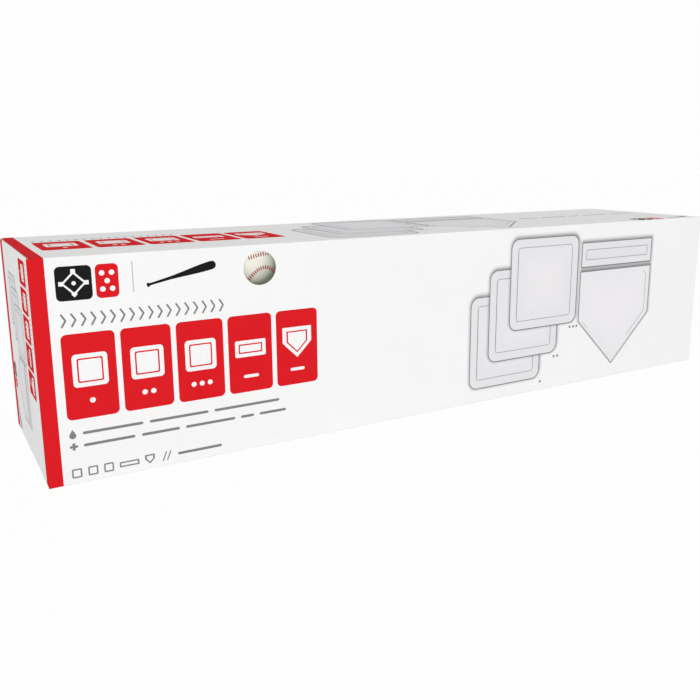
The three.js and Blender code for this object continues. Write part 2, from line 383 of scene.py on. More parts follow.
# Tiles of the front, in mm: red, with the mats in them, and a row of stitches above
TILES, BASE_TILES = 5, 3
TILE_LEFT, TILE_LOW, TILE_HIGH = 10.0, 30.5, 69.8
TILE_WIDTH, TILE_GAP, TILE_CORNER = 22.9, 2.4, 2.4
MARK_V, COUNT_V = 52.8, 38.6
BASE_MARK = ((7.6, 7.6, 1.8), (5.6, 5.6, 0.9), (4.9, 4.9, 0.6))
RUBBER_MARK = ((8.0, 4.2, 0.8), (6.2, 2.4, 0.5), (5.5, 1.7, 0.3))
PLATE_MARK = ((60.8, 16.0), (58.8, 11.6), (58.1, 9.9))
DOT, DOT_PITCH, DASH_HALF, DASH_HEIGHT = 1.25, 4.0, 4.0, 1.6
STITCHES, STITCH_LEFT, STITCH_PITCH, STITCH_V = 18, 10.9, 4.2, 76.0
STITCH_RUN, STITCH_RISE, STITCH_LAP, STITCH_WIDTH = 1.9, 3.0, 0.1, 0.85


def tile_marks(k, mid):
    """The mat in a tile as three nested shapes, and the dots or the dash below it."""
    dash = [bar(mid - DASH_HALF, COUNT_V, mid + DASH_HALF, DASH_HEIGHT)]
    if k < BASE_TILES:
        dots = [circle(mid + DOT_PITCH * (i - k / 2), COUNT_V, DOT, 16) for i in range(k + 1)]
        return [rounded_box(mid, MARK_V, *size) for size in BASE_MARK], dots
    if k == BASE_TILES:
        return [rounded_box(mid, MARK_V, *size) for size in RUBBER_MARK], dash
    return [home_plate(mid, *size) for size in PLATE_MARK], dash


def tile_row():
    """Five red tiles, one for each mat of the set, with dots that count the bases."""
    layers = []
    for k in range(TILES):
        left = TILE_LEFT + k * (TILE_WIDTH + TILE_GAP)
        layers += even(rounded(left, TILE_LOW, left + TILE_WIDTH, TILE_HIGH, TILE_CORNER), RED)
        mat, below = tile_marks(k, left + TILE_WIDTH / 2)
        layers += [Layer(shape, colour) for shape, colour in zip(mat, (WHITE, RED, WHITE))]
        layers += [Layer(shape, WHITE) for shape in below]
    return layers


def stitch_row():
    """A line of slanted stitches, as a ball's seam has."""
    layers = []
    for k in range(STITCHES):
        u = STITCH_LEFT + STITCH_PITCH * k
        for side in (1, -1):
            start = (u, STITCH_V + side * STITCH_RISE)
            end = (u + STITCH_RUN, STITCH_V - side * STITCH_LAP)
            layers += even(stroke(start, end, STITCH_WIDTH), GREY)
    return layers


# Small print of the front, in mm: lines of bars with their signs, and the set's pieces in small
LINE_HEIGHT = 1.35
FIRST_LINE_V, FIRST_LINE = 23.8, ((16.0, 43.0), (46.0, 74.5), (77.5, 112.0))
SECOND_LINE_V, SECOND_LINE = 18.0, ((16.0, 39.0), (42.0, 60.0), (63.0, 88.0), (91.0, 98.0), (101.0, 115.5))
DROP_AT, CROSS_AT = (11.7, 23.2), (11.8, 18.0)
SMALL_BASES, SMALL_LOW, SMALL_HIGH, SMALL_RIM = (10.0, 17.0, 24.0), 3.0, 7.4, 0.7
SMALL_RUBBER = (31.0, 3.9, 40.0, 6.5)
SMALL_PLATE = (45.0, 7.6, 4.6), (45.0, 6.9, 2.9)
SLASHES, SLASH_HIGH, SLASH_RUN, SLASH_WIDTH = (51.2, 53.2), 7.6, 1.8, 0.6
SMALL_BAR = (58.4, 5.3, 80.5)


def bars(v, spans, height):
    return [Layer(bar(first, v, last, height), GREY) for first, last in spans]


def drop(u, v):
    radius, tip, shoulder = 1.5, 3.0, math.radians(25)
    return np.vstack((arc(u, v, radius, -math.pi - shoulder, shoulder, 10), [(u, v + tip)]))


def small_set():
    """The set's pieces as small outlines, two slashes and a bar."""
    layers, rim, corner, inner_corner = [], SMALL_RIM, 0.7, 0.3
    for u in SMALL_BASES:
        u1 = u + SMALL_HIGH - SMALL_LOW
        layers += even(rounded(u, SMALL_LOW, u1, SMALL_HIGH, corner, 3), GREY)
        hole = rounded(u + rim, SMALL_LOW + rim, u1 - rim, SMALL_HIGH - rim, inner_corner, 2)
        layers += even(hole, WHITE)
    u0, v0, u1, v1 = SMALL_RUBBER
    layers += even(rounded(u0, v0, u1, v1, inner_corner, 2), GREY)
    layers += even(rectangle(u0 + rim, v0 + rim, u1 - rim, v1 - rim), WHITE)
    layers += [Layer(home_plate(*size), colour) for size, colour in zip(SMALL_PLATE, (GREY, WHITE))]
    for u in SLASHES:
        layers += even(stroke((u, SMALL_LOW), (u + SLASH_RUN, SLASH_HIGH), SLASH_WIDTH), GREY)
    return layers + even(bar(*SMALL_BAR, LINE_HEIGHT), GREY)


def feature_lines():
    """Two lines with a drop and a cross, and below them the set's pieces in small."""
    arm_length, arm_width = 1.7, 0.6
    layers = even(drop(*DROP_AT), GREY) + bars(FIRST_LINE_V, FIRST_LINE, LINE_HEIGHT)
    layers += even(box(*CROSS_AT, arm_length, arm_width), GREY)
    layers += even(box(*CROSS_AT, arm_width, arm_length), GREY)
    return layers + bars(SECOND_LINE_V, SECOND_LINE, LINE_HEIGHT) + small_set()


# Marks above the stitches, in mm: two tiles, a divider, a bat and a ball
MARK_LOW, MARK_HIGH, MARK_CORNER = 84.6, 99.8, 2.2
DARK_TILE, RED_TILE = (9.8, 25.0), (26.5, 36.4)
DIVIDER = (42.4, 86.0, 42.8, 100.0)
BAT_AT, BAT_SLANT = (48.6, 88.6), math.radians(13)
BAT_ALONG = (0, 0.25, 0.9, 1.3, 3.0, 11.0, 17.0, 22.0, 27.0, 31.0, 32.6, 33.3, 33.6)
BAT_HALF = (0.5, 1.0, 1.0, 0.62, 0.55, 0.75, 1.15, 1.6, 1.95, 2.05, 1.85, 1.2, 0.5)
BALL_AT, BALL_RADIUS = np.array((103.65, 92.45)), 8.45
BALL_LIGHT, BALL_AMBIENT = (-0.42, 0.55, 0.72), 0.10
BALL_RINGS = (0.97, 0.92, 0.85, 0.76, 0.66, 0.55, 0.43, 0.3, 0.16)
BALL_SEAMS = (
    ((-0.72, -0.64), (0.295, 0.51), (0.93, -0.34), 15),
    ((-0.68, 0.60), (-0.08, 0.80), (0.54, 0.83), 9),
)
BALL_STITCH_WIDTH, BALL_STEPS = 0.56, 40


def badge():
    """A dark tile with an infield diamond, and a red tile with a dot for each mat."""
    reach, line_width, base, plate, plate_down = 5.3, 0.8, 0.95, 2.3, 3.9
    dot, dot_u, dot_v = 1.2, 2.1, 3.6
    u, v = sum(DARK_TILE) / 2, (MARK_LOW + MARK_HIGH) / 2
    layers = even(rounded(DARK_TILE[0], MARK_LOW, DARK_TILE[1], MARK_HIGH, MARK_CORNER), CHARCOAL)
    diamond = np.array([(u, v - reach), (u + reach, v), (u, v + reach), (u - reach, v)])
    layers += even(diamond, WHITE) + even(grown(diamond, -line_width), CHARCOAL)
    for corner in diamond[1:]:
        layers += even(box(*corner, base, base), WHITE)
    layers += even(home_plate(u, v - plate_down, plate), WHITE) + even(circle(u, v, base, 14), WHITE)
    layers += even(rounded(RED_TILE[0], MARK_LOW, RED_TILE[1], MARK_HIGH, MARK_CORNER), RED)
    for side_u, side_v in ((-1, -1), (1, -1), (0, 0), (-1, 1), (1, 1)):
        layers += even(circle(sum(RED_TILE) / 2 + side_u * dot_u, v + side_v * dot_v, dot, 16), WHITE)
    return layers


def bat():
    """A dark bat lying aslant, from its half thickness at places along it."""
    along, half = np.array(BAT_ALONG), np.array(BAT_HALF)
    shape = np.vstack((np.column_stack((along, -half)), np.column_stack((along, half))[::-1]))
    across, up = math.cos(BAT_SLANT), math.sin(BAT_SLANT)
    return even(shape @ np.array([(across, up), (-up, across)]) + BAT_AT, CHARCOAL)


def seam_stitches(start, bend, end, count):
    """The two slanted halves of each stitch along a bent seam, on a ball of radius 1."""
    reach, lean, lap, rim, ahead, margin, steps = 0.11, 0.03, 0.01, 0.98, 0.03, 0.02, 60
    t = np.linspace(0, 1, steps)[:, None]
    path = (1 - t) ** 2 * np.array(start) + 2 * t * (1 - t) * np.array(bend) + t ** 2 * np.array(end)
    run = np.concatenate(([0], np.cumsum(np.linalg.norm(np.diff(path, axis=0), axis=1))))

    def place(distance):
        return np.array([np.interp(distance, run, path[:, k]) for k in (U, V)])

    stitches = []
    for distance in np.linspace(margin, 1 - margin, count) * run[-1]:
        seam = place(distance)
        along = place(distance + ahead) - seam
        along /= np.linalg.norm(along)
        out = np.array((-along[1], along[0]))
        for side in (-1, 1):
            tip = seam + reach * side * out + lean * along
            if np.linalg.norm(tip) < rim:
                stitches.append((seam - lap * side * out, tip))
    return stitches


def ball():
    """A plain ball with two rows of red stitches."""

    def shade(p):
        d = (p - BALL_AT) / BALL_RADIUS
        z = np.sqrt(np.clip(1 - (d ** 2).sum(1), 0, 1))
        lit = d[:, 0] * BALL_LIGHT[0] + d[:, 1] * BALL_LIGHT[1] + z * BALL_LIGHT[2]
        return mixed(*BALL_TONES, lit + BALL_AMBIENT)

    rings = [circle(*BALL_AT, BALL_RADIUS * f, BALL_STEPS) for f in BALL_RINGS]
    layers = [Layer(circle(*BALL_AT, BALL_RADIUS, BALL_STEPS), shade, rings)]
    for seam in BALL_SEAMS:
        for p, q in seam_stitches(*seam):
            p, q = BALL_AT + BALL_RADIUS * p, BALL_AT + BALL_RADIUS * q
            layers += even(stroke(p, q, BALL_STITCH_WIDTH), STITCH_RED)
    return layers


# Print of each panel: scales along u and v, then moves in mm; red bands in mm
FRONT_LEFT = (1.0117, 1.0022, 0.21, -0.19)
TOP_SET, TOP_TILES = (0.993, 0.987, -84.7, -1.67), (0.9887, 0.9474, 0.51, -0.37)
TOP_BADGE, TOP_BAT = (0.896, 0.785, 371.7, -65.0), (0.768, 0.687, 374.3, -56.2)
TOP_LINE_V, TOP_LINE_HEIGHT = 52.5, 1.9
TOP_LINE = ((317.5, 335.3), (338.3, 361.1), (364.1, 375.0), (377.9, 402.7), (405.7, 428.9))
END_TILES, END_SET = (-0.516, -0.51, 106.5, 47.8), (-0.478, -0.465, 202.6, 82.4)
END_STITCHES = (-0.524, -0.412, 106.5, 41.0)
END_BADGE, END_BAT = (-0.51, -0.493, 44.1, 133.3), (-0.51, -0.79, 44.1, 160.9)
BAND, BLEED = 6.4, 9.0
END_BAND, END_BAND_BACK, TONGUE_BAND, DUST_BAND = 4.2, 92.2, 3.0, 0.9


def crease_band(side, width, reach):
    """Red along the crease of a flap, at the left end only."""
    return even(rectangle(-BLEED, -BLEED, width + BLEED, reach), RED) if side == "left" else []


def front_print():
    left = tile_row() + stitch_row() + feature_lines() + badge() + bat() + ball()
    return set_picture() + placed(left + even(rectangle(*DIVIDER), PALE_GREY), *FRONT_LEFT)


def top_print():
    layers = placed(set_picture(), *TOP_SET) + placed(tile_row() + stitch_row(), *TOP_TILES)
    layers += placed(badge(), *TOP_BADGE) + placed(bat(), *TOP_BAT)
    return layers + bars(TOP_LINE_V, TOP_LINE, TOP_LINE_HEIGHT)


def end_print(side):
    layers = crease_band(side, HEIGHT, END_BAND)
    if side == "left":
        layers += even(rectangle(-BLEED, END_BAND_BACK, HEIGHT + BLEED, DEPTH + 2 * BLEED), RED)
    layers += placed(tile_row(), *END_TILES) + placed(set_picture(), *END_SET)
    layers += placed(stitch_row(), *END_STITCHES)
    return layers + placed(badge(), *END_BADGE) + placed(bat(), *END_BAT)


# Boards: a flat sheet in u and v, bent at its folds; w is out of the printed face
COAT_SLOT, BACK_SLOT, EDGE_SLOT = 0, 1, 2
COATED, BARE = (COAT_SLOT, BACK_SLOT, EDGE_SLOT), (BACK_SLOT, BACK_SLOT, BACK_SLOT)
MERGED, SLIVER = 1e-4, 1e-7


class Fold:
    """A crease on the side u or v = corner; sign is +1 where the sheet ends there going up."""

    def __init__(self, axis, corner, sign, half=RIGHT_ANGLE / 2):
        self.axis, self.corner, self.sign, self.half = axis, corner, sign, half
        self.flat = corner - sign * CREASE * math.tan(half)
        self.end = self.flat + sign * CREASE * half
        self.mitre = corner - sign * BOARD * math.tan(half)


def bent(uv, depth, folds, raws, mitred=False):
    """Local places of sheet points at a depth below the printed face."""
    place = uv.copy()
    t = np.full(len(uv), float(depth)) if np.isscalar(depth) else depth.copy()
    for axis, edge, sign in raws:
        near = np.clip(1 - sign * (edge - uv[:, axis]) / PINCH_REACH, 0, 1)
        t += (BOARD / 2 - t) * PINCH * near ** 2
    w = -t
    for f in folds:
        if mitred:
            near = np.clip(1 - f.sign * (f.mitre - uv[:, f.axis]) / MITRE_REACH, 0, 1)
            place[:, f.axis] += f.sign * (BOARD - t) * math.tan(f.half) * near
            continue
        s = f.sign * (uv[:, f.axis] - f.flat)
        on = s > 0
        phi, r = s[on] / CREASE, CREASE - t[on]
        place[on, f.axis] = f.flat + f.sign * r * np.sin(phi)
        w[on] -= r * (1 - np.cos(phi))
    return np.column_stack((place, w))


def mitred_outline(outline, folds):
    """The outline of the inner liner, which ends at the mitre of each fold."""
    result = outline.copy()
    for f in folds:
        result[np.isclose(outline[:, f.axis], f.end), f.axis] = f.mitre
    return result


def tessellated(outline, rows, layers):
    """Triangles of an outline, cut along rows and print outlines."""
    points, edges = [], []

    def add(poly, closed):
        first, last = len(points), len(points) + len(poly) - 1
        points.extend(Vector(p) for p in poly)
        edges.extend((k, k + 1) for k in range(first, last))
        if closed:
            edges.append((last, first))

    add(outline, True)
    for row in rows:
        add(row, False)
    for layer in layers:
        for ring in [layer.outline] + layer.guides:
            add(ring, True)
    verts, _, faces = delaunay_2d_cdt(points, edges, [], 0, MERGED)[:3]
    verts = np.array([tuple(v) for v in verts])
    tris = np.array([f for f in faces if len(f) == 3])
    a, b, c = verts[tris[:, 0]], verts[tris[:, 1]], verts[tris[:, 2]]
    area = (b - a)[:, 0] * (c - a)[:, 1] - (b - a)[:, 1] * (c - a)[:, 0]
    tris[area < 0] = tris[area < 0][:, ::-1]
    keep = inside((a + b + c) / 3, outline) & (np.abs(area) > SLIVER)
    used, tris = np.unique(tris[keep], return_inverse=True)
    return verts[used], tris.reshape(-1, 3)


def printed(verts, tris, layers):
    """Colour of each corner of each triangle."""
    centre = verts[tris].mean(1)
    colours = np.tile(np.array(WHITE), (len(tris), 3, 1))
    for layer in layers:
        mine = inside(centre, layer.outline)
        if not mine.any():
            continue
        colour = layer.colour
        if callable(colour):
            colour = colour(verts[tris[mine]].reshape(-1, 2)).reshape(-1, 3, 3)
        colours[mine] = colours[mine] * colour if layer.tint else colour
    return colours


def linked(name, data):
    obj = bpy.data.objects.new(name, data)
    bpy.context.scene.collection.objects.link(obj)
    return obj


class Piece:
    """Gathers points and faces, with sheet coordinates and print colour for each corner."""

    def __init__(self):
        self.verts, self.faces, self.slots, self.uvs, self.inks = [], [], [], [], []
        self.count = 0

    def add_points(self, verts):
        """Adds points and gives the number of the first one."""
        first = self.count
        self.verts.append(verts)
        self.count += len(verts)
        return first

    def add_faces(self, first, faces, slot, uv, inks=None):
        for i, face in enumerate(faces):
            self.faces.append([first + int(k) for k in face])
            self.slots.append(slot)
            self.uvs.extend(uv[k] for k in face)
            self.inks.extend(inks[i] if inks is not None else [WHITE] * len(face))

    def build(self, name, axes, origin, materials):
        points = (np.vstack(self.verts) @ axes + origin) * MM
        mesh = bpy.data.meshes.new(name)
        mesh.from_pydata(points.tolist(), [], self.faces)
        sheet = mesh.uv_layers.new(name="sheet")
        sheet.data.foreach_set("uv", (np.array(self.uvs) * MM).astype(np.float32).ravel())
        colour = mesh.color_attributes.new("ink", "FLOAT_COLOR", "CORNER")
        rgba = np.column_stack((np.array(self.inks), np.ones(len(self.inks))))
        colour.data.foreach_set("color", rgba.astype(np.float32).ravel())
        for m in materials:
            mesh.materials.append(m)
        mesh.polygons.foreach_set("material_index", np.array(self.slots, np.int32))
        if np.linalg.det(axes) < 0:
            mesh.flip_normals()
        mesh.polygons.foreach_set("use_smooth", np.ones(len(mesh.polygons), bool))
        mesh.set_sharp_from_angle(angle=SHARP)
        mesh.update()
        return linked(name, mesh)


def border_edges(tris):
    edges = [(t[k], t[(k + 1) % 3]) for t in tris for k in range(3)]
    known = set(edges)
    return [(a, b) for a, b in edges if (b, a) not in known]


def add_liner(piece, outline, rows, layers, depths, folds, raws, slots, mitred=False):
    """One liner as a closed sheet; slots are for its upper face, lower face and edge."""
    uv, tris = tessellated(outline, rows, layers)
    first = piece.add_points(np.vstack([bent(uv, d, folds, raws, mitred) for d in depths]))
    n, both = len(uv), np.vstack((uv, uv))
    piece.add_faces(first, tris, slots[0], both, printed(uv, tris, layers))
    piece.add_faces(first, tris[:, ::-1] + n, slots[1], both)
    edges = [(a, a + n, b + n, b) for a, b in border_edges(tris.tolist())]
    piece.add_faces(first, edges, slots[2], both)


def reach_at(outline, axis, value):
    """Lowest and highest place along the other axis where an outline crosses a value."""
    found = []
    for p, q in zip(outline, np.roll(outline, -1, 0)):
        if (p[axis] - value) * (q[axis] - value) <= 0 and p[axis] != q[axis]:
            t = (value - p[axis]) / (q[axis] - p[axis])
            found.append(p[1 - axis] + t * (q[1 - axis] - p[1 - axis]))
    return min(found), max(found)


def clipped(low, high, stops, gap):
    """A stretch cut short at stops, with sign +1 at its high end, and by end gaps."""
    for stop, sign in stops:
        low, high = (max(low, stop), high) if sign < 0 else (low, min(high, stop))
    return low + gap, high - gap


def tube(rings, count):
    """Faces of a tube of rings with the same count of points, and its two caps."""
    faces, last = [], count * (rings - 1)
    for r in range(0, last, count):
        for i in range(count):
            j = (i + 1) % count
            faces.append([r + j, r + i, r + count + i, r + count + j])
    return faces + [list(range(count)), [last + i for i in reversed(range(count))]]


def add_flutes(piece, outline, across, folds, raws):
    """The fluted sheet between the liners; across is the axis its waves run along."""
    sides = [(f.flat, f.sign) for f in folds if f.axis == across]
    ends = [(f.corner - f.sign * CRUSHED, f.sign) for f in folds if f.axis != across]
    low, high = clipped(outline[:, across].min(), outline[:, across].max(), sides, FLUTE_SIDE_GAP)
    count = int((high - low) / FLUTE_PITCH * FLUTE_STEPS)
    wave = (BOARD - 2 * LINER - FLUTE_SHEET) / 2 + FLUTE_BITE
    places, depths = [], []
    for c in np.linspace(low, high, count):
        a, b = clipped(*reach_at(outline, across, c), ends, FLUTE_END_GAP)
        depth = BOARD / 2 + wave * math.sin(2 * math.pi * c / FLUTE_PITCH)
        for end, side in ((a, -1), (b, -1), (b, 1), (a, 1)):
            places.append((c, end) if across == U else (end, c))
            depths.append(depth + side * FLUTE_SHEET / 2)
    faces = tube(count, 4)
    if across == V:
        faces = [f[::-1] for f in faces]
    uv = np.array(places)
    first = piece.add_points(bent(uv, np.array(depths), [], raws))
    piece.add_faces(first, faces, BACK_SLOT, uv)


def board(name, origin, axes, outline, folds, raws, layers, across, materials, tabs=()):
    """A printed board with its two liners and flutes; raws are straight cut sides (axis, edge, sign)."""
    low, high = outline.min(0) - GRID_OVER, outline.max(0) + GRID_OVER

    def rows(mitred):
        places = {U: [], V: []}
        for f in folds:
            bends = list(np.linspace(0, 1, CREASE_STEPS + 1)[:-1] * CREASE * f.half)
            first, steps = (f.mitre, [-MITRE_REACH]) if mitred else (f.flat, bends)
            places[f.axis] += [first + f.sign * d for d in steps + [-d for d in CREASE_ROWS]]
        for axis, edge, sign in raws:
            places[axis] += [edge - sign * d for d in PINCH_ROWS]
        upright = [np.array([(c, low[V]), (c, high[V])]) for c in places[U]]
        return upright + [np.array([(low[U], c), (high[U], c)]) for c in places[V]]

    piece = Piece()
    inner = mitred_outline(outline, folds)
    add_liner(piece, outline, rows(False), layers, (0, LINER), folds, raws, COATED)
    add_liner(piece, inner, rows(True), [], (BOARD - LINER, BOARD), folds, raws, BARE, True)
    add_flutes(piece, outline, across, folds, raws)
    for tab, fold in tabs:
        add_liner(piece, tab, rows(False), layers, (0, LINER), [fold], [], COATED)
    return piece.build(name, np.array(axes, float), np.array(origin, float), materials)


# Materials: linear tones, span of the noise, pitch of the faint waves in mm and their node's own factor
BACK_TONES, FLECK = ((0.66, 0.625, 0.56, 1), (0.78, 0.755, 0.70, 1)), (0.42, 0.36, 0.29, 1)
EDGE_TONES = (0.72, 0.70, 0.66, 1), (0.84, 0.82, 0.79, 1)
RUBBER_TONES = (0.70, 0.71, 0.71, 1), (0.79, 0.80, 0.80, 1)
NOISE_LOW, NOISE_HIGH, GRAIN_LOW = 0.3, 0.7, 0.985
WAVE_PITCH, WAVE_FACTOR = 7.54, 20.0


def material(name, roughness, specular):
    m = bpy.data.materials.new(name)
    m.use_nodes = True
    tree = m.node_tree
    shader = next(n for n in tree.nodes if n.type == "BSDF_PRINCIPLED")
    shader.inputs["Roughness"].default_value = roughness
    shader.inputs["Specular IOR Level"].default_value = specular
    return m, tree, shader, sheet_vector(tree)


def node(tree, kind, **values):
    """A node with its settings and inputs, each input a value or a socket to link."""
    n = tree.nodes.new(kind)
    for key, value in values.items():
        if key not in n.inputs:
            setattr(n, key, value)
        elif isinstance(value, bpy.types.NodeSocket):
            tree.links.new(value, n.inputs[key])
        else:
            n.inputs[key].default_value = value
    return n


def noise(tree, vector, scale, detail, roughness=0.55):
    n = node(tree, "ShaderNodeTexNoise", Vector=vector, Scale=scale, Detail=detail, Roughness=roughness)
    return n.outputs["Fac"]


def ranged(tree, value, low, high, to_low, to_high):
    limits = {"From Min": low, "From Max": high, "To Min": to_low, "To Max": to_high}
    return node(tree, "ShaderNodeMapRange", Value=value, **limits).outputs["Result"]


def spread(tree, value, to_low, to_high):
    return ranged(tree, value, NOISE_LOW, NOISE_HIGH, to_low, to_high)


def combined(tree, operation, a, b):
    n = node(tree, "ShaderNodeMath", operation=operation)
    for socket, value in zip(n.inputs, (a, b)):
        if isinstance(value, float):
            socket.default_value = value
        else:
            tree.links.new(value, socket)
    return n.outputs[0]


def mix(tree, factor, a, b, blend="MIX"):
    n = node(tree, "ShaderNodeMix", data_type="RGBA", blend_type=blend, Factor=factor, A=a, B=b)
    return n.outputs["Result"]


def bumped(tree, shader, height, strength, distance, last=None):
    n = node(tree, "ShaderNodeBump", Height=height, Strength=strength, Distance=distance)
    if last is not None:
        tree.links.new(last, n.inputs["Normal"])
    tree.links.new(n.outputs["Normal"], shader.inputs["Normal"])
    return n.outputs["Normal"]


def sheet_vector(tree, su=1.0, sv=1.0):
    uv = node(tree, "ShaderNodeUVMap", uv_map="sheet").outputs["UV"]
    return node(tree, "ShaderNodeMapping", Vector=uv, Scale=(su, sv, 1.0)).outputs["Vector"]


def coat_material(name, across):
    """White clay coat with the print, a fine grain and faint waves."""
    m, tree, shader, vector = material(name, roughness=0.75, specular=0.012)
    colour = node(tree, "ShaderNodeAttribute", attribute_name="ink").outputs["Color"]
    cloud = spread(tree, noise(tree, vector, scale=38.0, detail=4.0), GRAIN_LOW, 1.0)
    fine = spread(tree, noise(tree, vector, scale=900.0, detail=2.0), GRAIN_LOW, 1.0)
    grain = combined(tree, "MULTIPLY", cloud, fine)
    tree.links.new(mix(tree, 1.0, colour, grain, "MULTIPLY"), shader.inputs["Base Color"])
    gloss = spread(tree, noise(tree, vector, scale=120.0, detail=3.0), 0.66, 0.8)
    tree.links.new(gloss, shader.inputs["Roughness"])
    wave = node(tree, "ShaderNodeTexWave", bands_direction="XY"[across], Vector=vector,
                Scale=2 * math.pi / (WAVE_FACTOR * WAVE_PITCH * MM), Distortion=0.4)
    waved = bumped(tree, shader, wave.outputs["Fac"], strength=0.06, distance=0.05 * MM)
    pores = noise(tree, vector, scale=2600.0, detail=2.0)
    bumped(tree, shader, pores, strength=0.08, distance=0.04 * MM, last=waved)
    return m


def back_material():
    """Uncoated off-white board with fibres and a few flecks."""
    m, tree, shader, vector = material("board_back", roughness=0.85, specular=0.1)
    fibre = noise(tree, sheet_vector(tree, sv=7.0), scale=260.0, detail=4.0, roughness=0.6)
    fibres = mix(tree, spread(tree, fibre, 0.0, 1.0), *BACK_TONES)
    spots = noise(tree, vector, scale=1500.0, detail=1.0)
    fleck = ranged(tree, spots, low=0.68, high=0.76, to_low=0.0, to_high=0.5)
    tree.links.new(mix(tree, fleck, fibres, FLECK), shader.inputs["Base Color"])
    tree.links.new(spread(tree, fibre, 0.78, 0.92), shader.inputs["Roughness"])
    bumped(tree, shader, noise(tree, vector, scale=1400.0, detail=3.0), strength=0.25, distance=0.06 * MM)
    return m


def edge_material():
    """Cut edge of the white liner: bare pale fibre."""
    m, tree, shader, vector = material("liner_edge", roughness=0.85, specular=0.15)
    tone = spread(tree, noise(tree, vector, scale=1800.0, detail=2.0), 0.0, 1.0)
    tree.links.new(mix(tree, tone, *EDGE_TONES), shader.inputs["Base Color"])
    bumped(tree, shader, noise(tree, vector, scale=3000.0, detail=2.0), strength=0.3, distance=0.05 * MM)
    return m


def rubber_material():
    """White rubber with a fine pebble and slight greying."""
    m, tree, shader, vector = material("white_rubber", roughness=0.6, specular=0.35)
    cloud = spread(tree, noise(tree, vector, scale=25.0, detail=4.0), 0.0, 1.0)
    tree.links.new(mix(tree, cloud, *RUBBER_TONES), shader.inputs["Base Color"])
    gloss = spread(tree, noise(tree, vector, scale=160.0, detail=3.0), 0.5, 0.68)
    tree.links.new(gloss, shader.inputs["Roughness"])
    cells = node(tree, "ShaderNodeTexVoronoi", feature="SMOOTH_F1", Vector=vector, Scale=850.0)
    bumped(tree, shader, cells.outputs["Distance"], strength=0.5, distance=0.25 * MM)
    return m


COAT_ROUND, COAT_ENDS = coat_material("coated_board", V), coat_material("coated_flap", U)
BACK, EDGE, RUBBER = back_material(), edge_material(), rubber_material()
WALL_LOOK, FLAP_LOOK = (COAT_ROUND, BACK, EDGE), (COAT_ENDS, BACK, EDGE)


def finish_piece(obj, node_name):
    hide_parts(node_name)
    return obj


# Walls of the carton
def corner_tab(u_fold, v_fold):
    """The small corner of a panel's face that reaches over the end flap's board."""
    edge = u_fold.corner + u_fold.sign * (INSET_END - TAB_GAP)
    rows = (TAB_CHAMFER, TAB_DEPTH, BOARD + DUST_FRONT)
    near, middle, far = (v_fold.corner - v_fold.sign * d for d in rows)
    shape = [
        (u_fold.flat, v_fold.end), (edge - u_fold.sign * TAB_CHAMFER, v_fold.end),
        (edge, near), (edge, middle), (u_fold.corner, far), (u_fold.flat, far),
    ]
    return np.array(shape), v_fold


def wall(name, origin, axes, u_folds, v_folds, layers, u_ends=(), v_ends=(), tabs=()):
    """A rectangle of board that runs to the middle of each crease, or to a cut end."""
    u = [f.end for f in u_folds] + list(u_ends)
    v = [f.end for f in v_folds] + list(v_ends)
    outline = rectangle(min(u), min(v), max(u), max(v))
    middle = outline.mean(0)
    cuts = [(U, e) for e in u_ends] + [(V, e) for e in v_ends]
    raws = [(axis, e, 1 if e > middle[axis] else -1) for axis, e in cuts]
    obj = board(name + "_board", origin, axes, outline, u_folds + v_folds, raws, layers, V, WALL_LOOK, tabs)
    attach(finish_piece(obj, name), "carton")


def end_folds(inset):
    return [Fold(U, inset, -1), Fold(U, LENGTH - inset, 1)]


def walls():
    near_band = even(rectangle(-BLEED, -BLEED, BAND, HEIGHT + BLEED), RED)
    far_band = even(rectangle(LENGTH - BAND, -BLEED, LENGTH + BLEED, HEIGHT + BLEED), RED)
    inset_folds, low_fold, high_fold = end_folds(INSET_END), Fold(V, 0, -1), Fold(V, HEIGHT, 1)
    depth_fold, glue_fold = Fold(V, DEPTH, 1), Fold(V, BOARD + GLUE_LINE, -1)
    wall("front_panel", (-END_X, FRONT_Y, 0), (X, Z, -Y), end_folds(0), [low_fold, high_fold],
         near_band + front_print())
    wall("top_panel", (-END_X, FRONT_Y, HEIGHT), (X, Y, Z), inset_folds, [low_fold, depth_fold],
         near_band + top_print(), tabs=[corner_tab(f, low_fold) for f in inset_folds])
    wall("back_panel", (END_X, -FRONT_Y, 0), (-X, Z, Y), [], [high_fold],
         far_band + front_print(), (0, LENGTH), (FIT,))
    wall("bottom_panel", (-END_X, -FRONT_Y, 0), (X, -Y, -Z), inset_folds, [glue_fold, depth_fold],
         near_band, tabs=[corner_tab(f, depth_fold) for f in inset_folds])


def glue_flap():
    fold = Fold(V, 0, -1)
    wide = DUST_X - FIT - BOARD
    narrow = wide - GLUE_FLAP / 2
    outline = np.array([
        (END_X - wide, fold.end), (END_X + wide, fold.end),
        (END_X + narrow, GLUE_FLAP), (END_X - narrow, GLUE_FLAP),
    ])
    raws = [(V, GLUE_FLAP, 1)]
    obj = board("glue_flap_board", (END_X, GLUE_Y, 0), (-X, Z, Y), outline, [fold], raws, [], V, WALL_LOOK)
    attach(finish_piece(obj, "glue_flap"), "carton")


# End closures: end flaps, tuck tongues and dust flaps, each board running to the middle of the crease it
# hangs on
def hinged(name, side, origin, axes, outline, folds, raws, layers):
    """A board of the left end, mirrored for the right end."""
    flip = np.array((-1.0 if side == "right" else 1.0, 1.0, 1.0))
    origin, axes = np.array(origin) * flip, np.array(axes) * flip
    obj = board(name + "_board", origin, axes, outline, folds, raws, layers, U, FLAP_LOOK)
    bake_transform(obj)
    finish_piece(obj, name)


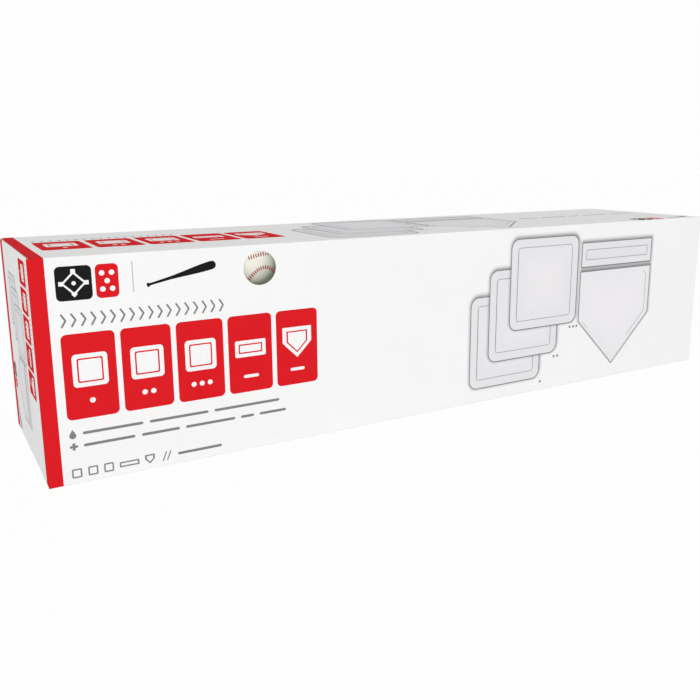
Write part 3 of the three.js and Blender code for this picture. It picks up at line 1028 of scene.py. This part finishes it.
def end_flap(side):
    folds = [Fold(V, 0, -1), Fold(V, FLAP_LENGTH, 1, TUCK_HALF)]
    low, high = FLAP_EDGE, HEIGHT - FLAP_EDGE
    outline = rectangle(low, folds[0].end, high, folds[1].end)
    raws = [(U, low, -1), (U, high, 1)]
    hinged(side + "_end_flap", side, (-END_X, FRONT_Y, 0), (Z, Y, -X), outline, folds, raws,
           end_print(side))


def tongue(side):
    fold = Fold(V, 0, -1, TUCK_HALF)
    low, high = FLAP_EDGE + TONGUE_SIDE, HEIGHT - FLAP_EDGE - TONGUE_SIDE
    tip = TONGUE_LENGTH - TONGUE_CORNER
    outline = np.vstack((
        [(low, fold.end), (high, fold.end)],
        arc(high - TONGUE_CORNER, tip, TONGUE_CORNER, 0, RIGHT_ANGLE, CORNER_STEPS),
        arc(low + TONGUE_CORNER, tip, TONGUE_CORNER, RIGHT_ANGLE, math.pi, CORNER_STEPS),
    ))
    inward = np.array((math.cos(TONGUE_LEAN), -math.sin(TONGUE_LEAN), 0))
    axes = (Z, inward, np.cross(Z, inward))
    hinged(side + "_tuck_tongue", side, (-END_X, FRONT_Y + FLAP_LENGTH, 0), axes, outline, [fold],
           [(V, TONGUE_LENGTH, 1)], crease_band(side, HEIGHT, TONGUE_BAND))


def dust_flap(side, place):
    fold = Fold(V, 0, -1)
    front, back = BOARD + DUST_FRONT, DEPTH - BOARD - DUST_BACK
    outline = np.vstack((
        [(front, fold.end), (back, fold.end)],
        arc(back - DUST_CORNER, DUST_LENGTH - DUST_CORNER, DUST_CORNER, 0, RIGHT_ANGLE, CORNER_STEPS),
        [(front + DUST_LENGTH * math.tan(DUST_TAPER), DUST_LENGTH)],
    ))
    height, down = (HEIGHT, -Z) if place == "top" else (0, Z)
    hinged(side + "_" + place + "_dust_flap", side, (-DUST_X, FRONT_Y, height), (Y, down, -X), outline,
           [fold], [(V, DUST_LENGTH, 1)], crease_band(side, DEPTH, DUST_BAND))


# Mats: sheets wound along one spiral, with a bevelled border, a groove and a raised field
def turn_at(distance):
    root = math.sqrt(START_RADIUS ** 2 - PITCH * distance / math.pi)
    return (START_RADIUS - root) * 2 * math.pi / PITCH


def roll_height():
    """Height of the roll's axis: its lowest facet stands just off the bottom panel."""
    lowest = 0.0
    for k in range(TURN_FACETS + 1):
        turn = k * ROLL_FACET
        s = START_RADIUS * turn - PITCH * turn ** 2 / (4 * math.pi)
        height = RIM + (MAT - RIM) * min(1, s / NARROW_BORDER) - MAT / 2
        radius = START_RADIUS - PITCH * turn / (2 * math.pi) + height
        lowest = min(lowest, radius * math.sin(ROLL_START + turn))
    return BOARD + FIT - lowest


def rounded_half(half, corner, s, length):
    near = min(s, length - s, corner)
    return half - corner + math.sqrt(max(corner ** 2 - (corner - near) ** 2, 0.0))


def base_half(s):
    return rounded_half(BASE_SIDE / 2, BASE_CORNER, s, BASE_SIDE)


def rubber_half(s):
    return rounded_half(PLATE_SIDE / 2, RUBBER_CORNER, s, RUBBER_WIDTH)


def plate_half(s):
    half = PLATE_SIDE / 2
    return PLATE_SIDE - s if s > half else rounded_half(half, PLATE_CORNER, s, PLATE_SIDE)


def half_section(half, edge, border):
    """Points from a mat's rim to its field: place from the middle line, and height."""
    inset, step = max(half - border, half / 2), min(1.0, half / NARROW_MAT)

    def bevel(w):
        return RIM + (MAT - RIM - BEVEL_DROP) * min(1.0, min(edge, half - w + BEVEL_LEAD) / border)

    rim = [(half - w, share * RIM) for w, share in RIM_STEPS]
    slope = [(w, bevel(w)) for w in (half - BEVEL_START, (half + inset) / 2, inset + GROOVE_WIDTH * step)]
    groove = inset + GROOVE_WIDTH / 2 * step
    inner = [(groove, bevel(groove) - GROOVE)]
    for w in (inset, inset - FIELD_EDGE * step):
        inner.append((w, MAT - FIELD_DROP if edge > border else bevel(w)))
    if border - END_GROOVE_BEFORE < edge < border + END_GROOVE_AFTER:
        inner = [(w, min(h, MAT - END_GROOVE)) for w, h in inner]
    return rim + slope + inner


def rolled_mat(name, start, length, half_width, border):
    """A mat from its outer end to its inner end; its rings run across the roll."""
    near = list(END_STATIONS) + [border + d for d in BORDER_STATIONS]
    between = list(np.arange(NARROW_BORDER, length - NARROW_BORDER, STATION))
    stations = sorted(set(near + [length - s for s in near] + between))
    centre = np.array((0, ROLL_Y, roll_height()))
    verts, uv = [], []
    for s in stations:
        section = half_section(half_width(s), min(s, length - s), border)
        turn = turn_at(start + s)
        radius = START_RADIUS - PITCH * turn / (2 * math.pi) - MAT / 2
        out = np.array((0, math.cos(ROLL_START + turn), math.sin(ROLL_START + turn)))
        ring = [(-w, h) for w, h in section] + section[::-1]
        verts += [centre + out * (radius + h) + X * w for w, h in ring]
        uv += [(w, s) for w, h in ring]
    piece = Piece()
    first = piece.add_points(np.array(verts))
    piece.add_faces(first, tube(len(stations), len(ring)), 0, np.array(uv))
    obj = piece.build(name + "_mat", np.eye(3), np.zeros(3), (RUBBER,))
    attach(finish_piece(obj, name), "carton")


def mats():
    """The mats as they are wound, from the outside of the roll to its inside."""
    plate = ("home_plate", PLATE_SIDE - PLATE_TIP, plate_half, NARROW_BORDER)
    bases = [(which + "_base", BASE_SIDE, base_half, BASE_BORDER) for which in ("third", "second", "first")]
    rubber = ("pitchers_rubber", RUBBER_WIDTH, rubber_half, NARROW_BORDER)
    start = 0.0
    for name, length, half_width, border in [plate] + bases + [rubber]:
        rolled_mat(name, start, length, half_width, border)
        start += length + END_GAP


# Floor, light and camera
def seen_share(tree, level):
    """How far a surface shows as the white backdrop: to the camera, and in gloss and glass."""
    path = tree.nodes.new("ShaderNodeLightPath").outputs
    reflected = combined(tree, "MAXIMUM", path["Is Glossy Ray"], path["Is Transmission Ray"])
    seen = combined(tree, "MAXIMUM", path["Is Camera Ray"], reflected)
    return combined(tree, "MULTIPLY", seen, level)


def backdrop(tree, out, plain, white, level):
    """Mixes a plain surface with the white that is seen directly."""
    both = node(tree, "ShaderNodeMixShader", Fac=seen_share(tree, level))
    tree.links.new(plain.outputs[0], both.inputs[1])
    tree.links.new(white.outputs[0], both.inputs[2])
    tree.links.new(both.outputs[0], out.inputs["Surface"])


def emptied(owner):
    owner.use_nodes = True
    owner.node_tree.nodes.clear()
    return owner.node_tree


def floor():
    corners = rectangle(-FLOOR_HALF, -FLOOR_HALF, FLOOR_HALF, FLOOR_HALF)
    mesh = bpy.data.meshes.new("floor")
    mesh.from_pydata([(x, y, 0) for x, y in corners], [], [(0, 1, 2, 3)])
    m = bpy.data.materials.new("floor")
    tree = emptied(m)
    out = tree.nodes.new("ShaderNodeOutputMaterial")
    diffuse = node(tree, "ShaderNodeBsdfDiffuse", Color=(FLOOR_GREY, FLOOR_GREY, FLOOR_GREY, 1))
    white = node(tree, "ShaderNodeEmission", Strength=1.0)
    backdrop(tree, out, diffuse, white, FLOOR_WHITE)
    mesh.materials.append(m)
    obj = linked("floor", mesh)


def world():
    w = bpy.data.worlds.new("studio")
    bpy.context.scene.world = w
    tree = emptied(w)
    out = tree.nodes.new("ShaderNodeOutputWorld")
    fill = node(tree, "ShaderNodeBackground", Strength=FILL_STRENGTH, Color=FILL_COLOUR)
    white = node(tree, "ShaderNodeBackground", Strength=SKY_WHITE, Color=(1, 1, 1, 1))
    backdrop(tree, out, fill, white, 1.0)


def key_light():
    data = bpy.data.lights.new("key", "AREA")
    data.shape = "DISK"
    data.size = KEY_SIZE
    data.energy = KEY_POWER
    data.color = KEY_COLOUR
    obj = linked("key", data)
    obj.location = KEY_AT
    obj.rotation_euler = (Vector(KEY_TARGET) - Vector(KEY_AT)).to_track_quat("-Z", "Y").to_euler()


def camera():
    data = bpy.data.cameras.new("camera")
    data.sensor_width = SENSOR
    data.sensor_fit = "HORIZONTAL"
    data.lens = FOCAL / PICTURE * SENSOR
    data.shift_x = (PICTURE / 2 - CENTRE_X) / PICTURE
    data.shift_y = (CENTRE_Y - PICTURE / 2) / PICTURE
    data.clip_start, data.clip_end = CLIP_NEAR, CLIP_FAR
    turn = Euler([math.radians(a) for a in CAMERA_TURN])
    obj = linked("camera", data)
    obj.matrix_world = Matrix.LocRotScale(Vector(CAMERA_AT), turn, None)
    bpy.context.scene.camera = obj


# The carton from its walls to its ends, the roll in it, and the studio
walls()
glue_flap()
for side in ("left", "right"):
    end_flap(side)
    tongue(side)
    dust_flap(side, "top")
    dust_flap(side, "bottom")
mats()
floor()
world()
key_light()
camera()
bpy.context.scene.view_settings.view_transform = "Standard"
